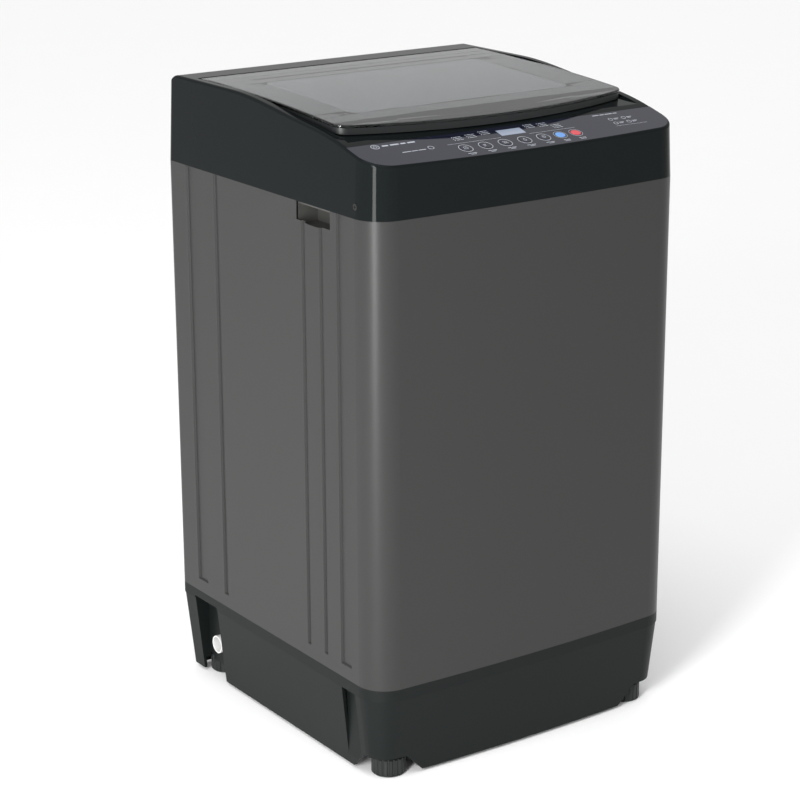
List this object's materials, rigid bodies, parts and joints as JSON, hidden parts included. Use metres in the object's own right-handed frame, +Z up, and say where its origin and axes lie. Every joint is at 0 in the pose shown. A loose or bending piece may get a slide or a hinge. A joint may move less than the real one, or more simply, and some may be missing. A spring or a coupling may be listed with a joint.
{
  "type": "top load washing machine",
  "caption": "Top load washing machine with a dark sheet cabinet, gloss cover, hinged glass lid, sloped touch panel, hung tub and spinning basket",
  "frame": {"origin": "on the floor, under the middle of the machine's outline, with the drum axis above it", "axes": "+X to the machine's right as seen from the front, +Y to the rear, +Z up; the control panel faces -Y"},
  "size_m": [0.54, 0.55, 0.946],
  "materials": {
    "cabinet_paint": "satin",
    "zinc_sheet": "satin",
    "black_plastic": "satin",
    "zinc_fastener": "satin",
    "cup_grey": "satin",
    "dark_fastener": "satin",
    "base_plastic": "satin",
    "white_plastic": "satin",
    "rubber_black": "matte",
    "cover_gloss": "gloss",
    "grey_plastic": "satin",
    "light_grey_plastic": "satin",
    "fascia_film": "gloss",
    "display_lens": "gloss",
    "circuit_board": "satin",
    "tempered_glass": "gloss",
    "steel": "satin",
    "tub_plastic": "satin",
    "drum_steel": "polished",
    "cast_aluminium": "cast",
    "bearing_steel": "polished",
    "motor_shell": "satin",
    "foot_plastic": "satin",
    "button_film": "gloss",
    "button_blue": "gloss",
    "button_red": "gloss"
  },
  "bodies": {
    "cabinet": {"cabinet": "cabinet_paint", "handle_cup_left": "cup_grey", "handle_cup_right": "cup_grey", "rear_panel": "zinc_sheet", "rear_panel_screws": "zinc_fastener", "cable_gland": "black_plastic", "base": "base_plastic", "foot_lock_nuts": "zinc_fastener", "drain_spigot": "white_plastic", "drain_hose": "rubber_black", "top_cover": "cover_gloss", "top_cover_screws": "dark_fastener", "drum_collar": "grey_plastic", "control_fascia": "fascia_film", "display_window": "display_lens", "control_board": "circuit_board", "control_tray": "black_plastic", "drawer_housing": "grey_plastic", "inlet_cup": "black_plastic", "inlet_valve": "white_plastic", "lid_switch": "white_plastic", "corner_brackets": "zinc_sheet", "suspension_rods": "steel", "rod_ball_seats": "white_plastic", "spring_seats": "black_plastic", "suspension_springs": "steel"},
    "lid": {"lid_glass": "tempered_glass", "lid_frame": "black_plastic", "lid_hinge_pins": "steel"},
    "tub": {"outer_tub": "tub_plastic", "tub_ring": "tub_plastic", "mounting_plate": "zinc_sheet", "gear_case": "cast_aluminium", "bearings": "bearing_steel", "motor": "motor_shell", "drive_belt": "rubber_black", "drain_valve": "white_plastic"},
    "basket": {"basket": "drum_steel", "basket_hub": "cast_aluminium", "balance_ring": "light_grey_plastic", "spin_shaft": "steel"},
    "lint_filter": {"lint_filter": "light_grey_plastic"},
    "wash_drive": {"pulsator": "light_grey_plastic", "pulsator_screw": "zinc_fastener", "drive_shaft": "steel", "drive_pulley": "cast_aluminium"},
    "motor_rotor": {"motor_pulley": "steel"},
    "detergent_drawer": {"detergent_drawer": "light_grey_plastic"},
    "button_program": {"button_program": "button_film"},
    "button_water_level": {"button_water_level": "button_film"},
    "button_wash": {"button_wash": "button_film"},
    "button_rinse": {"button_rinse": "button_film"},
    "button_spin": {"button_spin": "button_film"},
    "button_start": {"button_start": "button_blue"},
    "button_power": {"button_power": "button_red"},
    "foot_front_left": {"foot_front_left": "foot_plastic"},
    "foot_front_right": {"foot_front_right": "foot_plastic"},
    "foot_rear_left": {"foot_rear_left": "foot_plastic"},
    "foot_rear_right": {"foot_rear_right": "foot_plastic"}
  },
  "joints": [
    {"name": "lid_hinge", "type": "hinge", "parent": "cabinet", "child": "lid", "pos_m": [0, 0.199, 0.9395], "axis": [-1, 0, 0], "range_deg": [0, 95]},
    {"name": "tub_bounce", "type": "slide", "parent": "cabinet", "child": "tub", "axis": [0, 0, 1], "range_m": [-0.02, 0.006], "stiffness_N_per_m": 6600, "springref_m": 0.03645, "deforming": ["suspension_springs"]},
    {"name": "basket_spin", "type": "hinge", "parent": "tub", "child": "basket", "pos_m": [0, 0, 0.2], "axis": [0, 0, 1], "continuous": true},
    {"name": "lint_filter_pull", "type": "slide", "parent": "basket", "child": "lint_filter", "axis": [-1, 0, 0], "range_m": [0, 0.025]},
    {"name": "wash_spin", "type": "hinge", "parent": "tub", "child": "wash_drive", "pos_m": [0, 0, 0.2], "axis": [0, 0, 1], "continuous": true},
    {"name": "motor_spin", "type": "hinge", "parent": "tub", "child": "motor_rotor", "pos_m": [0.10342, 0.08678, 0.1], "axis": [0, 0, 1], "continuous": true},
    {"name": "drawer_pull", "type": "slide", "parent": "cabinet", "child": "detergent_drawer", "axis": [0, -1, 0], "range_m": [0, 0.065]},
    {"name": "press_program", "type": "slide", "parent": "cabinet", "child": "button_program", "axis": [0, 0.2625, -0.9649], "range_m": [0, 0.0008], "stiffness_N_per_m": 900, "springref_m": -0.0008},
    {"name": "press_water_level", "type": "slide", "parent": "cabinet", "child": "button_water_level", "axis": [0, 0.2625, -0.9649], "range_m": [0, 0.0008], "stiffness_N_per_m": 900, "springref_m": -0.0008},
    {"name": "press_wash", "type": "slide", "parent": "cabinet", "child": "button_wash", "axis": [0, 0.2625, -0.9649], "range_m": [0, 0.0008], "stiffness_N_per_m": 900, "springref_m": -0.0008},
    {"name": "press_rinse", "type": "slide", "parent": "cabinet", "child": "button_rinse", "axis": [0, 0.2625, -0.9649], "range_m": [0, 0.0008], "stiffness_N_per_m": 900, "springref_m": -0.0008},
    {"name": "press_spin", "type": "slide", "parent": "cabinet", "child": "button_spin", "axis": [0, 0.2625, -0.9649], "range_m": [0, 0.0008], "stiffness_N_per_m": 900, "springref_m": -0.0008},
    {"name": "press_start", "type": "slide", "parent": "cabinet", "child": "button_start", "axis": [0, 0.2625, -0.9649], "range_m": [0, 0.0008], "stiffness_N_per_m": 900, "springref_m": -0.0008},
    {"name": "press_power", "type": "slide", "parent": "cabinet", "child": "button_power", "axis": [0, 0.2625, -0.9649], "range_m": [0, 0.0008], "stiffness_N_per_m": 900, "springref_m": -0.0008},
    {"name": "adjust_foot_front_left", "type": "slide", "parent": "cabinet", "child": "foot_front_left", "axis": [0, 0, -1], "range_m": [0, 0.012]},
    {"name": "adjust_foot_front_right", "type": "slide", "parent": "cabinet", "child": "foot_front_right", "axis": [0, 0, -1], "range_m": [0, 0.012]},
    {"name": "adjust_foot_rear_left", "type": "slide", "parent": "cabinet", "child": "foot_rear_left", "axis": [0, 0, -1], "range_m": [0, 0.012]},
    {"name": "adjust_foot_rear_right", "type": "slide", "parent": "cabinet", "child": "foot_rear_right", "axis": [0, 0, -1], "range_m": [0, 0.012]}
  ],
  "couplings": [
    {"joint": "motor_spin", "follows": "wash_spin", "ratio": 5}
  ]
}
